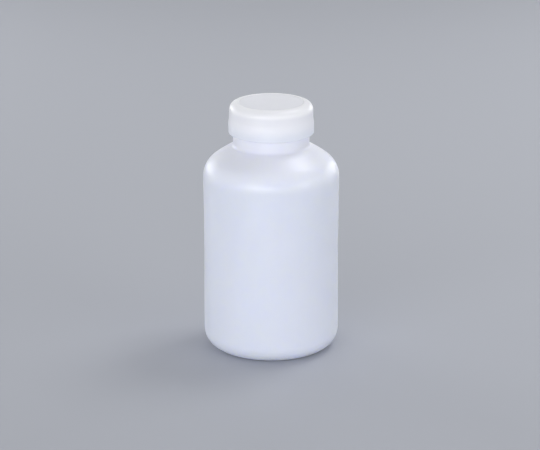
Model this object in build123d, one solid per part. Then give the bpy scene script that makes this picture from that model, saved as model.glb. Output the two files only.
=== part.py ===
from build123d import *
from math import asin, atan2, cos, degrees, isclose, radians, sin, sqrt
import os

# Wide-mouth reagent bottle in three pieces: a blow-moulded bottle, an inner lid that
# seals its mouth, and a screw cap that holds the lid down. Lengths are in millimetres
# and angles in degrees. +Z is the bottle's axis, upwards. The origin is the centre of
# the ring that the bottle stands on.

# Bottle: body
body_radius = 39.3         # above the heel and at the start of the shoulder
lower_band = 12.0          # straight stretch above the heel, which a rack can hold
waist_depth = 0.3          # how far the side draws in, halfway up from there
side_top = 103.4           # height at which the shoulder starts
body_wall = 1.4
heel_radius = 10.5
foot_width = 2.6           # flat ring that stands on the bench
base_rise = 2.6            # domed recess inside that ring
shoulder_radius = 13.6     # tight bend at the top of the side
shoulder_turn = 52.7       # angle that this bend turns through
crown_radius = 75.0        # gentle curve from there to the neck
neck_fillet = 2.2

# Bottle: mould marks
seam_height = 0.08         # parting line, proud of the wall
seam_width = 0.35
seam_foot = 5.0            # height at which the parting line starts
pinch_height = 0.5         # pinched-off weld under the base
pinch_width = 0.9
pinch_length = 34.0

# Bottle: neck
mouth_radius = 19.0        # clear bore of the mouth
finish_wall = 1.7          # wall under the thread
collar_height = 7.3        # plain collar between the shoulder and the thread
collar_edge = 0.5
flare_height = 2.3         # the bore widens over this height, inside the collar
flare_cover = 0.9          # from the top of the flare to the top of the collar
lip_round = 0.5

# Thread: right-handed, one form for the bottle and the cap
thread_pitch = 4.0
thread_depth = 1.3
thread_root_width = 2.0
thread_crest_width = 1.0
thread_turns = 1.5         # on the bottle
cap_thread_turns = 1.25
thread_fade = 40.0         # angle over which each end of a thread runs out
thread_lead_in = 3.9       # from the lip down to the end of the thread
thread_clearance = 0.4     # crest to root, radially
thread_bearing_gap = 0.3   # axially, between the flanks that meet in a tightened cap
thread_to_collar = 0.9     # from the end of the cap's thread down to the collar
thread_bury = 0.3          # depth to which a thread's root is set into its wall
thread_step = 10.0         # angle between the points that shape a thread's edge
thread_span = 6            # such steps along each face of a thread

# Inner lid
flange_thickness = 1.2
flange_clearance = 0.5     # from the rim of the flange to the inside of the cap
seat_gap = 0.05            # lip to flange, and flange to cap
plug_depth = 6.0
plug_wall = 1.2
plug_clearance = 0.05      # sealing bead to bore
plug_relief = 0.35         # the skirt stands back from its sealing bead
plug_taper = 0.5           # lead-in at the skirt's lower edge
plug_root_round = 0.5      # inside, where the skirt meets the lid
seal_depth = 2.4           # middle of the sealing bead, below the lip
seal_height = 1.8
flange_round = 0.3

# Screw cap
cap_top_thickness = 1.9
skirt_wall = 1.6           # at the top of the skirt
skirt_draft = 0.3          # the skirt widens by this much down to the slope
skirt_overlap = 1.2        # the skirt reaches this far down over the collar
band_height = 5.4          # wider lower band
band_step = 0.4            # the band stands this far proud of the skirt
band_slope = 4.0           # height over which the skirt widens to the band
cap_top_round = 4.0
ceiling_round = 0.8        # inside corner, round the rim of the lid
band_round = 0.6
catch_height = 1.1         # bead inside the cap that carries the lid
catch_grip = 0.6           # overlap of the bead and the flange
catch_gap = 0.2            # below the flange
catch_land = 0.35          # flat crest of the bead
catch_back = 0.15          # slope of the bead's upper side
cap_lead_in = 0.5          # chamfer inside the skirt's lower edge

# Radii that follow
foot_radius = body_radius - heel_radius
recess_radius = foot_radius - foot_width
dome_radius = (recess_radius**2 + base_rise**2) / (2 * base_rise)
finish_radius = mouth_radius + finish_wall
thread_radius = finish_radius + thread_depth
collar_radius = thread_radius
cap_bore = thread_radius + thread_clearance
skirt_top_radius = cap_bore + skirt_wall
skirt_low_radius = skirt_top_radius + skirt_draft
band_radius = skirt_low_radius + band_step
flange_radius = cap_bore - flange_clearance
catch_radius = flange_radius - catch_grip
seal_radius = mouth_radius - plug_clearance
plug_radius = seal_radius - plug_relief

# The cap's thread lies under the bottle's, flank to flank
flank_slope = (thread_root_width - thread_crest_width) / 2 / (thread_depth + thread_bury)
root_to_root = cap_bore - finish_radius + 2 * thread_bury
thread_spacing = thread_root_width - flank_slope * root_to_root + thread_bearing_gap

# Centres of the curves between the side and the neck, as (radius, height)
crown_offset = crown_radius - shoulder_radius
shoulder_center = (body_radius - shoulder_radius, side_top)
crown_center = (
    shoulder_center[0] - crown_offset * cos(radians(shoulder_turn)),
    shoulder_center[1] - crown_offset * sin(radians(shoulder_turn)),
)
fillet_reach = collar_radius + neck_fillet - crown_center[0]
fillet_rise = sqrt((crown_radius + neck_fillet) ** 2 - fillet_reach**2)
fillet_center = (collar_radius + neck_fillet, crown_center[1] + fillet_rise)
crown_end = degrees(atan2(fillet_rise, fillet_reach))

# Heights that follow
band_end = heel_radius + lower_band
neck_foot = fillet_center[1]
collar_top = neck_foot + collar_height
thread_run_out = thread_spacing + thread_root_width / 2 + thread_to_collar
thread_start = collar_top + thread_run_out
cap_thread_start = thread_start - thread_spacing
lip = thread_start + thread_pitch * thread_turns + thread_lead_in
flange_foot = lip + seat_gap
flange_top = flange_foot + flange_thickness
plug_foot = lip - plug_depth
cap_ceiling = flange_top + seat_gap
cap_top = cap_ceiling + cap_top_thickness
cap_foot = collar_top - skirt_overlap
band_top = cap_foot + band_height
slope_top = band_top + band_slope
catch_top = flange_foot - catch_gap
catch_foot = catch_top - catch_height


def turned(*edges):
    """Solid of revolution of a closed half outline, drawn as (radius, height)."""
    return revolve(Plane.XZ * make_face(edges), axis=Axis.Z)


def rings(solid, radius, height):
    """Circular edges of a turned solid at one radius and height."""
    circles = solid.edges().filter_by(GeomType.CIRCLE)
    level = [e for e in circles if isclose(e.arc_center.Z, height, abs_tol=1e-4)]
    return [e for e in level if isclose(e.radius, radius, abs_tol=1e-4)]


def skin(inset):
    """Half outline of the bottle's skin, moved inwards by a distance, from the middle
    of the base to the foot of the collar."""
    dome_base = base_rise - dome_radius
    dome_curve = dome_radius + inset
    dome_foot = degrees(asin((inset - dome_base) / dome_curve))
    dome = CenterArc((0, dome_base), dome_curve, 90, dome_foot - 90)
    foot = Line(dome @ 1, (foot_radius, inset))
    heel = CenterArc((foot_radius, heel_radius), heel_radius - inset, -90, 90)
    band = Line(heel @ 1, (body_radius - inset, band_end))
    waist = (body_radius - waist_depth - inset, (band_end + side_top) / 2)
    shoulder = CenterArc(shoulder_center, shoulder_radius - inset, 0, shoulder_turn)
    side = Spline(band @ 1, waist, shoulder @ 0, tangents=[(0, 1), (0, 1)])
    crown_turn = crown_end - shoulder_turn
    crown = CenterArc(crown_center, crown_radius - inset, shoulder_turn, crown_turn)
    fillet_arc = CenterArc(fillet_center, neck_fillet + inset, 180 + crown_end, -crown_end)
    return [dome, foot, heel, band, side, shoulder, crown, fillet_arc]


def filled_bottle():
    """The bottle's outer shape without threads, as if it were solid."""
    outline = skin(0)
    neck = Polyline(
        outline[-1] @ 1,
        (collar_radius, collar_top),
        (finish_radius, collar_top),
        (finish_radius, lip),
        (0, lip),
        outline[0] @ 0,
    )
    blank = turned(*outline, neck)
    blank = fillet(rings(blank, collar_radius, collar_top), collar_edge)
    return fillet(rings(blank, finish_radius, lip), lip_round)


def bottle_hollow():
    """The space inside the bottle, out through its mouth."""
    outline = skin(body_wall)
    flare_top = collar_top - flare_cover
    above = lip + lip_round
    bore = Polyline(
        outline[-1] @ 1,
        (collar_radius - body_wall, flare_top - flare_height),
        (mouth_radius, flare_top),
        (mouth_radius, above),
        (0, above),
        outline[0] @ 0,
    )
    return turned(*outline, bore)


def swollen_bottle(growth):
    """The bottle's outer shape up to the collar, a little larger all over."""
    outline = skin(-growth)
    seam_top = collar_top - 2 * collar_edge
    neck = Polyline(
        outline[-1] @ 1,
        (collar_radius + growth, seam_top),
        (0, seam_top),
        outline[0] @ 0,
    )
    return turned(*outline, neck)


def parting_line():
    """Fine raised line up both sides, where the two halves of the mould met."""
    height = collar_top - seam_foot
    middle = seam_foot + height / 2
    slab = Pos(0, 0, middle) * Box(3 * body_radius, seam_width, height)
    return swollen_bottle(seam_height) & slab


def pinch_off():
    """Straight weld across the base, where the mould closed the end of the tube."""
    slab = Box(pinch_length, pinch_width, 2 * (base_rise + body_wall))
    return swollen_bottle(pinch_height) & slab


def thread(wall_radius, outward, start_height, turns):
    """Ridge that winds up a round wall and runs out at both ends. It stands outwards
    where outward is 1 and inwards where it is -1."""
    sweep = 360 * turns
    steps = round(sweep / thread_step)
    angles = [sweep * i / steps for i in range(steps + 1)]
    root_radius = wall_radius - outward * thread_bury

    def crest_radius(angle):
        run = min(1, angle / thread_fade, (sweep - angle) / thread_fade)
        ease = run * run * (3 - 2 * run)
        return root_radius + outward * (thread_bury / 2 + ease * (thread_depth + thread_bury / 2))

    def point(angle, radius, offset):
        height = start_height + thread_pitch * angle / 360 + offset
        return Vector(radius * cos(radians(angle)), radius * sin(radians(angle)), height)

    def corners(angle):
        crest = crest_radius(angle)
        return [
            point(angle, root_radius, -thread_root_width / 2),
            point(angle, crest, -thread_crest_width / 2),
            point(angle, crest, thread_crest_width / 2),
            point(angle, root_radius, thread_root_width / 2),
        ]

    sides = []
    for first in range(0, steps, thread_span):
        span = angles[first : first + thread_span + 1]
        edges = [Edge.make_spline(list(line)) for line in zip(*[corners(a) for a in span])]
        sides += [Face.make_surface_from_curves(edges[i - 1], edges[i]) for i in range(4)]
    ends = [Face(Wire.make_polygon(corners(angle), close=True)) for angle in (0, sweep)]
    return Solid(Shell(sides + ends))


def make_bottle():
    outside = filled_bottle() + parting_line() + pinch_off()
    shell = outside - bottle_hollow()
    shell = fillet(rings(shell, mouth_radius, lip), lip_round)
    return shell + thread(finish_radius, 1, thread_start, thread_turns)


def make_inner_lid():
    bore_radius = plug_radius - plug_wall
    seal_middle = lip - seal_depth
    seal_top = (plug_radius, seal_middle + seal_height / 2)
    seal_foot = (plug_radius, seal_middle - seal_height / 2)
    seal = ThreePointArc(seal_top, (seal_radius, seal_middle), seal_foot)
    outside = Polyline((0, flange_top), (flange_radius, flange_top), (flange_radius, flange_foot))
    underside = Polyline((flange_radius, flange_foot), (plug_radius, flange_foot), seal_top)
    inside = Polyline(
        seal_foot,
        (plug_radius, plug_foot + 2 * plug_taper),
        (plug_radius - plug_taper, plug_foot),
        (bore_radius, plug_foot),
        (bore_radius, flange_foot),
        (0, flange_foot),
        (0, flange_top),
    )
    lid = turned(outside, underside, seal, inside)
    rim = rings(lid, flange_radius, flange_top) + rings(lid, flange_radius, flange_foot)
    lid = fillet(rim, flange_round)
    return fillet(rings(lid, bore_radius, flange_foot), plug_root_round)


def make_screw_cap():
    catch_crest = catch_top - catch_back
    skirt = Polyline((0, cap_top), (skirt_top_radius, cap_top), (skirt_low_radius, slope_top))
    slope = Spline(skirt @ 1, (band_radius, band_top), tangents=[skirt % 1, (0, -1)])
    band_and_inside = Polyline(
        slope @ 1,
        (band_radius, cap_foot),
        (cap_bore + cap_lead_in, cap_foot),
        (cap_bore, cap_foot + cap_lead_in),
        (cap_bore, catch_foot),
        (catch_radius, catch_crest - catch_land),
        (catch_radius, catch_crest),
        (cap_bore, catch_top),
        (cap_bore, cap_ceiling),
        (0, cap_ceiling),
        (0, cap_top),
    )
    cap = turned(skirt, slope, band_and_inside)
    cap = fillet(rings(cap, skirt_top_radius, cap_top), cap_top_round)
    cap = fillet(rings(cap, band_radius, cap_foot), band_round)
    cap = fillet(rings(cap, cap_bore, cap_ceiling), ceiling_round)
    return cap + thread(cap_bore, -1, cap_thread_start, cap_thread_turns)


nodes = {
    "bottle": make_bottle(),
    "inner_lid": make_inner_lid(),
    "screw_cap": make_screw_cap(),
}
os.makedirs("parts", exist_ok=True)
for name, shape in nodes.items():
    export_step(shape, f"parts/{name}.step")
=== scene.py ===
import bpy
from math import radians
from mathutils import Euler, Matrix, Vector


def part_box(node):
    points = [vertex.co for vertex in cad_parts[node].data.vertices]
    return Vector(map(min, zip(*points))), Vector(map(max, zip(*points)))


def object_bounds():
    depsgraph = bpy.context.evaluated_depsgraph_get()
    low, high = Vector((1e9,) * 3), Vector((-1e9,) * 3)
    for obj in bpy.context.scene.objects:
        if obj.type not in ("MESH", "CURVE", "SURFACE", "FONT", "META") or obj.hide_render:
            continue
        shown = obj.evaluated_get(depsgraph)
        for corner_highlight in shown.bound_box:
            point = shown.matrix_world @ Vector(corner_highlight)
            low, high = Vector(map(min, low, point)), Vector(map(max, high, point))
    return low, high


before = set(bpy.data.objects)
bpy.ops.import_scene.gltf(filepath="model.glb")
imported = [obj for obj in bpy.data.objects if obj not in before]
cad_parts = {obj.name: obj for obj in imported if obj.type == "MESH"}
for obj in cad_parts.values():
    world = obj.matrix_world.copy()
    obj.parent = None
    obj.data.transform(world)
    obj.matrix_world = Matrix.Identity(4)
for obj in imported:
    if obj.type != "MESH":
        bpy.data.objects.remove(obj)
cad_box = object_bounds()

# A wide-mouth reagent bottle of translucent polyethylene, with its inner lid and screw cap,
# on a plain grey bench. Lengths are in metres, and a pattern's fineness is roughly its
# number of features in a metre.

# Camera
CAMERA_PLACE = (0.0, -1.280, 0.4813)
CAMERA_PITCH = 17.7              # degrees below the horizon
CAMERA_YAW = 0.03                # degrees
LENS = 153.5                     # millimetres, on the sensor below
SENSOR = 36.0

# Bench and air
FLOOR_SIZE = 6.0
FLOOR_COLOUR = (0.43, 0.44, 0.47)
FLOOR_ROUGHNESS = 0.75
AIR_COLOUR = (0.94, 0.96, 1.0)
AIR_OVERHEAD = 0.20              # share of that light straight overhead
AIR_STRENGTH = 1.10

# Softboxes: what each is called, where it stands seen from the bottle (azimuth from +X
# towards +Y, elevation), its distance, width, height and watts
SOFTBOXES = (
    ("key_above", 35.0, 60.0, 1.1, 0.42, 0.42, 3.2),
    ("back_above", 90.0, 36.0, 1.2, 0.50, 0.14, 0.6),
    ("side_left", 133.0, 11.0, 1.2, 0.60, 0.42, 2.5),
    ("side_right", 50.0, 10.0, 1.2, 0.50, 0.36, 1.8),
    ("front_wide", 250.0, 11.0, 2.2, 2.40, 0.70, 26.5),
    ("right_wide", 325.0, 12.0, 2.0, 1.20, 0.80, 6.0),
)
SOFTBOX_COLOUR = (0.955, 0.97, 1.0)

# Polyethylene: how deep red, green and blue light go into each piece, and its colours
PLASTIC_IOR = 1.53
BOTTLE_SCATTER = (0.0041, 0.0040, 0.0030)
BOTTLE_CLEAR = (0.760, 0.814, 0.982)
BOTTLE_CLOUDY = (0.790, 0.826, 0.986)
# Painted light: the paler colour the bottle takes from its upper shoulder up the neck, for
# the light the neck gets through the cap
BOTTLE_NECK_PAINTED_LIGHT = (0.885, 0.892, 0.980)
BOTTLE_SCUFF = (0.62, 0.66, 0.74)
LID_SCATTER = (0.0040, 0.0040, 0.0037)
LID_CLEAR = (0.80, 0.83, 0.90)
LID_CLOUDY = (0.83, 0.85, 0.91)
CAP_SCATTER = (0.0039, 0.0040, 0.0037)
CAP_CLEAR = (0.840, 0.848, 0.890)
CAP_CLOUDY = (0.858, 0.860, 0.900)
# Painted shade: the duller colour of the cap's foot, whose thin single wall has no lid or
# thread behind it
CAP_FOOT_PAINTED_SHADE = (0.700, 0.725, 0.800)
# Painted shade: the greyer colour of the cap's flat top, which gets little light from above
CAP_TOP_PAINTED_SHADE = (0.800, 0.800, 0.832)
# Painted highlight: the near-white colour along the rounded corner of the cap's top
CAP_CORNER_PAINTED_HIGHLIGHT = (0.975, 0.978, 0.985)

# Levels of the pieces at rest, from the frame, and how far the cap reaches from the axis
BOTTLE_BASE_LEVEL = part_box("bottle")[0].z
BOTTLE_LIP_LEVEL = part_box("bottle")[1].z
CAP_FOOT_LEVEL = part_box("screw_cap")[0].z
CAP_TOP_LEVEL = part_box("screw_cap")[1].z
CAP_SHOULDER_LEVEL = CAP_TOP_LEVEL - 0.0024
CAP_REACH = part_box("screw_cap")[1].x

# Where those colours change, from and to: heights, and one distance from the axis. All but
# the scuffs mark where painted light, shade or highlight begins and ends; the distance also
# edges the sunk middle of the cap's top
SCUFF_HEIGHTS = (BOTTLE_BASE_LEVEL + 0.0004, BOTTLE_BASE_LEVEL + 0.006)
NECK_PAINTED_LIGHT_HEIGHTS = (BOTTLE_LIP_LEVEL - 0.0437, BOTTLE_LIP_LEVEL - 0.0197)
CAP_FOOT_SHADE_HEIGHTS = (CAP_FOOT_LEVEL - 0.0011, CAP_FOOT_LEVEL + 0.0089)
CAP_CORNER_HIGHLIGHT_HEIGHTS = (CAP_SHOULDER_LEVEL - 0.0030, CAP_SHOULDER_LEVEL)
CAP_TOP_SHADE_HEIGHTS = (CAP_SHOULDER_LEVEL, CAP_TOP_LEVEL - 0.0004)
CAP_SINK_AND_HIGHLIGHT_SPREAD = (CAP_REACH - 0.0063, CAP_REACH - 0.0055)

# Roughness, least and most, and how much rougher a scuff is
BOTTLE_ROUGHNESS = (0.29, 0.38)
LID_ROUGHNESS = (0.34, 0.42)
CAP_ROUGHNESS = (0.285, 0.35)
SCUFF_ROUGHNESS = 0.25

# Bumps: how high each is
BOTTLE_UNEVEN = 0.0006
DRAWING_LINES = 0.00002
CAP_UNEVEN = 0.0002
CAP_TOP_SINK = 0.0004
GRAIN = 0.00001

# The values that a noise mostly stays between, and those over which a scuff comes up
NOISE_RANGE = (0.3, 0.7)
SCUFF_RANGE = (0.45, 0.7)


def direction(azimuth, elevation):
    """Unit vector at an azimuth from +X towards +Y and an elevation above the floor."""
    vector = Vector((1.0, 0.0, 0.0))
    vector.rotate(Euler((0.0, -radians(elevation), 0.0)))
    vector.rotate(Euler((0.0, 0.0, radians(azimuth))))
    return vector


def link(made):
    """Puts a new object in the scene."""
    bpy.context.scene.collection.objects.link(made)
    return made


def make_camera():
    data = bpy.data.cameras.new("camera")
    data.sensor_width = SENSOR
    data.lens = LENS
    data.clip_start = 0.01
    data.clip_end = 50.0
    camera = link(bpy.data.objects.new("camera", data))
    camera.location = CAMERA_PLACE
    camera.rotation_euler = (radians(90.0 - CAMERA_PITCH), 0.0, radians(CAMERA_YAW))
    bpy.context.scene.camera = camera


def make_air():
    """Light from all round, full at the horizon and below it, and faint straight overhead."""
    world = bpy.data.worlds.new("air")
    world.use_nodes = True
    background = world.node_tree.nodes["Background"]
    background.inputs["Color"].default_value = (*AIR_COLOUR, 1.0)
    place = world.node_tree.nodes.new("ShaderNodeTexCoord")
    split = world.node_tree.nodes.new("ShaderNodeSeparateXYZ")
    ramp = world.node_tree.nodes.new("ShaderNodeMapRange")
    ramp.inputs["To Min"].default_value = AIR_STRENGTH
    ramp.inputs["To Max"].default_value = AIR_STRENGTH * AIR_OVERHEAD
    world.node_tree.links.new(place.outputs["Generated"], split.inputs["Vector"])
    world.node_tree.links.new(split.outputs["Z"], ramp.inputs["Value"])
    world.node_tree.links.new(ramp.outputs["Result"], background.inputs["Strength"])
    bpy.context.scene.world = world


def make_softboxes(aim):
    """Flat lights that face a point, which the camera doesn't see."""
    for name, azimuth, elevation, distance, width, height, watts in SOFTBOXES:
        data = bpy.data.lights.new(name, "AREA")
        data.shape = "RECTANGLE"
        data.size = width
        data.size_y = height
        data.energy = watts
        data.color = SOFTBOX_COLOUR
        light = link(bpy.data.objects.new(name, data))
        away = direction(azimuth, elevation)
        light.location = aim + away * distance
        light.rotation_euler = away.to_track_quat("Z", "Y").to_euler()
        light.visible_camera = False


def make_floor(level):
    """A wide matt bench under the bottle."""
    half = FLOOR_SIZE / 2
    corners = [(-half, -half), (half, -half), (half, half), (-half, half)]
    mesh = bpy.data.meshes.new("floor")
    mesh.from_pydata([(x, y, level) for x, y in corners], [], [(0, 1, 2, 3)])
    floor = link(bpy.data.objects.new("floor", mesh))
    material = bpy.data.materials.new("floor_paint")
    material.use_nodes = True
    shader = material.node_tree.nodes["Principled BSDF"]
    shader.inputs["Base Color"].default_value = (*FLOOR_COLOUR, 1.0)
    shader.inputs["Roughness"].default_value = FLOOR_ROUGHNESS
    mesh.materials.append(material)


class Pattern:
    """Builds the patterns of one material, node by node, and hands out their sockets."""

    def __init__(self, material):
        self.material = material
        self.tree = material.node_tree
        self.shader = self.tree.nodes["Principled BSDF"]
        self.place = self.add("ShaderNodeTexCoord").outputs["Object"]

    def add(self, kind, **properties):
        made = self.tree.nodes.new(kind)
        for name, value in properties.items():
            setattr(made, name, value)
        return made

    def feed(self, socket, value):
        """Links a socket, or sets it to a plain value."""
        if isinstance(value, bpy.types.NodeSocket):
            self.tree.links.new(value, socket)
        else:
            socket.default_value = value

    def noise(self, fineness, stretch=(1.0, 1.0, 1.0), detail=2.0):
        """Soft noise from 0 to 1. A stretch under 1 makes it longer that way."""
        mapping = self.add("ShaderNodeMapping")
        self.feed(mapping.inputs["Vector"], self.place)
        mapping.inputs["Scale"].default_value = stretch
        noise = self.add("ShaderNodeTexNoise")
        self.feed(noise.inputs["Vector"], mapping.outputs["Vector"])
        noise.inputs["Scale"].default_value = fineness
        noise.inputs["Detail"].default_value = detail
        return noise.outputs["Fac"]

    def ramp(self, value, start, end, low=0.0, high=1.0):
        """Smooth step from low to high, as a value goes from start to end."""
        ramp = self.add("ShaderNodeMapRange", interpolation_type="SMOOTHSTEP")
        self.feed(ramp.inputs["Value"], value)
        ramp.inputs["From Min"].default_value = start
        ramp.inputs["From Max"].default_value = end
        ramp.inputs["To Min"].default_value = low
        ramp.inputs["To Max"].default_value = high
        return ramp.outputs["Result"]

    def math(self, operation, first, second):
        made = self.add("ShaderNodeMath", operation=operation)
        self.feed(made.inputs[0], first)
        self.feed(made.inputs[1], second)
        return made.outputs["Value"]

    def mix(self, share, first, second):
        """Colour between two colours, each a socket or red, green and blue."""
        made = self.add("ShaderNodeMix", data_type="RGBA")
        sockets = {socket.identifier: socket for socket in made.inputs}
        self.feed(sockets["Factor_Float"], share)
        for name, colour in (("A_Color", first), ("B_Color", second)):
            self.feed(sockets[name], (*colour, 1.0) if isinstance(colour, tuple) else colour)
        return [socket for socket in made.outputs if socket.identifier == "Result_Color"][0]

    def height(self):
        split = self.add("ShaderNodeSeparateXYZ")
        self.feed(split.inputs["Vector"], self.place)
        return split.outputs["Z"]

    def spread(self):
        """Distance from the bottle's axis."""
        flat = self.add("ShaderNodeVectorMath", operation="MULTIPLY")
        self.feed(flat.inputs[0], self.place)
        flat.inputs[1].default_value = (1.0, 1.0, 0.0)
        length = self.add("ShaderNodeVectorMath", operation="LENGTH")
        self.feed(length.inputs[0], flat.outputs["Vector"])
        return length.outputs["Value"]

    def colour(self, value):
        self.feed(self.shader.inputs["Base Color"], value)

    def roughness(self, value):
        self.feed(self.shader.inputs["Roughness"], value)

    def relief(self, *layers):
        """Bumps one over the other, each given as (pattern, height in metres)."""
        normal = None
        for pattern, rise in layers:
            bump = self.add("ShaderNodeBump")
            bump.inputs["Distance"].default_value = rise
            self.feed(bump.inputs["Height"], pattern)
            if normal is not None:
                self.feed(bump.inputs["Normal"], normal)
            normal = bump.outputs["Normal"]
        self.feed(self.shader.inputs["Normal"], normal)


def polyethylene(name, scatter):
    """A translucent plastic that red, green and blue light enter about as deep as scatter."""
    material = bpy.data.materials.new(name)
    material.use_nodes = True
    shader = material.node_tree.nodes["Principled BSDF"]
    shader.inputs["IOR"].default_value = PLASTIC_IOR
    shader.inputs["Subsurface Weight"].default_value = 1.0
    shader.inputs["Subsurface Radius"].default_value = scatter
    shader.inputs["Subsurface Scale"].default_value = 1.0
    return material


def bottle_plastic():
    """Blow-moulded: softly cloudy, and paler up towards the neck, which is painted light,
    with faint upright drawing lines, an uneven skin, a fine matt grain, and a scuffed heel."""
    pattern = Pattern(polyethylene("bottle_polyethylene", BOTTLE_SCATTER))
    soft = pattern.noise(fineness=24.0, stretch=(1.0, 1.0, 0.45), detail=3.0)
    clouds = pattern.ramp(soft, *NOISE_RANGE)
    lines = pattern.noise(fineness=420.0, stretch=(1.0, 1.0, 0.02))
    share = pattern.math("MULTIPLY", pattern.math("ADD", clouds, lines), 0.5)
    wall = pattern.mix(share, BOTTLE_CLEAR, BOTTLE_CLOUDY)
    # Painted light: paler from the upper shoulder up the neck
    neck_painted_light = pattern.ramp(pattern.height(), *NECK_PAINTED_LIGHT_HEIGHTS)
    plain = pattern.mix(neck_painted_light, wall, BOTTLE_NECK_PAINTED_LIGHT)
    heel = pattern.ramp(pattern.height(), *SCUFF_HEIGHTS, low=1.0, high=0.0)
    marks = pattern.ramp(pattern.noise(fineness=900.0, detail=4.0), *SCUFF_RANGE)
    scuffs = pattern.math("MULTIPLY", heel, marks)
    pattern.colour(pattern.mix(scuffs, plain, BOTTLE_SCUFF))
    skin = pattern.noise(fineness=160.0, stretch=(1.0, 1.0, 0.5), detail=4.0)
    satin = pattern.ramp(skin, *NOISE_RANGE, *BOTTLE_ROUGHNESS)
    rougher = pattern.math("MULTIPLY", scuffs, SCUFF_ROUGHNESS)
    pattern.roughness(pattern.math("ADD", satin, rougher))
    uneven = pattern.noise(fineness=45.0, stretch=(1.0, 1.0, 0.6), detail=1.0)
    grain = pattern.noise(fineness=2600.0)
    pattern.relief((uneven, BOTTLE_UNEVEN), (lines, DRAWING_LINES), (grain, GRAIN))
    return pattern.material


def lid_plastic():
    """Injection-moulded and soft: evenly milky, with a satin skin."""
    pattern = Pattern(polyethylene("lid_polyethylene", LID_SCATTER))
    clouds = pattern.ramp(pattern.noise(fineness=60.0, detail=3.0), *NOISE_RANGE)
    pattern.colour(pattern.mix(clouds, LID_CLEAR, LID_CLOUDY))
    skin = pattern.noise(fineness=220.0, detail=3.0)
    pattern.roughness(pattern.ramp(skin, *NOISE_RANGE, *LID_ROUGHNESS))
    grain = pattern.noise(fineness=3000.0)
    pattern.relief((grain, GRAIN))
    return pattern.material


def cap_plastic():
    """Injection-moulded, with a satin skin: painted shade makes it less white at its foot and
    greyer on its flat top, and a painted highlight makes it whitest at the corner of its top,
    whose middle is a little sunk."""
    pattern = Pattern(polyethylene("cap_polyethylene", CAP_SCATTER))
    clouds = pattern.ramp(pattern.noise(fineness=50.0, detail=3.0), *NOISE_RANGE)
    plain = pattern.mix(clouds, CAP_CLEAR, CAP_CLOUDY)
    # Painted shade: duller at the cap's foot
    above_foot_shade = pattern.ramp(pattern.height(), *CAP_FOOT_SHADE_HEIGHTS)
    side_with_shade = pattern.mix(above_foot_shade, CAP_FOOT_PAINTED_SHADE, plain)
    # Painted shade: greyer on the flat top
    top_shade = pattern.ramp(pattern.height(), *CAP_TOP_SHADE_HEIGHTS)
    shaded_face = pattern.mix(top_shade, side_with_shade, CAP_TOP_PAINTED_SHADE)
    # The edge of the top's sunk middle: it sinks that middle in the relief below, and with
    # the height ramp it places the painted highlight on the corner
    rim_sink_and_highlight = pattern.ramp(pattern.spread(), *CAP_SINK_AND_HIGHLIGHT_SPREAD)
    highlight_height = pattern.ramp(pattern.height(), *CAP_CORNER_HIGHLIGHT_HEIGHTS)
    corner_highlight = pattern.math("MULTIPLY", rim_sink_and_highlight, highlight_height)
    pattern.colour(pattern.mix(corner_highlight, shaded_face, CAP_CORNER_PAINTED_HIGHLIGHT))
    skin = pattern.noise(fineness=220.0, detail=3.0)
    pattern.roughness(pattern.ramp(skin, *NOISE_RANGE, *CAP_ROUGHNESS))
    uneven = pattern.noise(fineness=70.0, detail=1.0)
    grain = pattern.noise(fineness=3000.0)
    pattern.relief((rim_sink_and_highlight, CAP_TOP_SINK), (uneven, CAP_UNEVEN), (grain, GRAIN))
    return pattern.material


def dress(name, material):
    """Gives a piece of the frame its material."""
    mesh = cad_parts[name].data
    mesh.materials.clear()
    mesh.materials.append(material)


bpy.context.scene.view_settings.view_transform = "Standard"
make_camera()
make_air()
make_softboxes((cad_box[0] + cad_box[1]) / 2)
make_floor(cad_box[0].z)
dress("bottle", bottle_plastic())
dress("inner_lid", lid_plastic())
dress("screw_cap", cap_plastic())
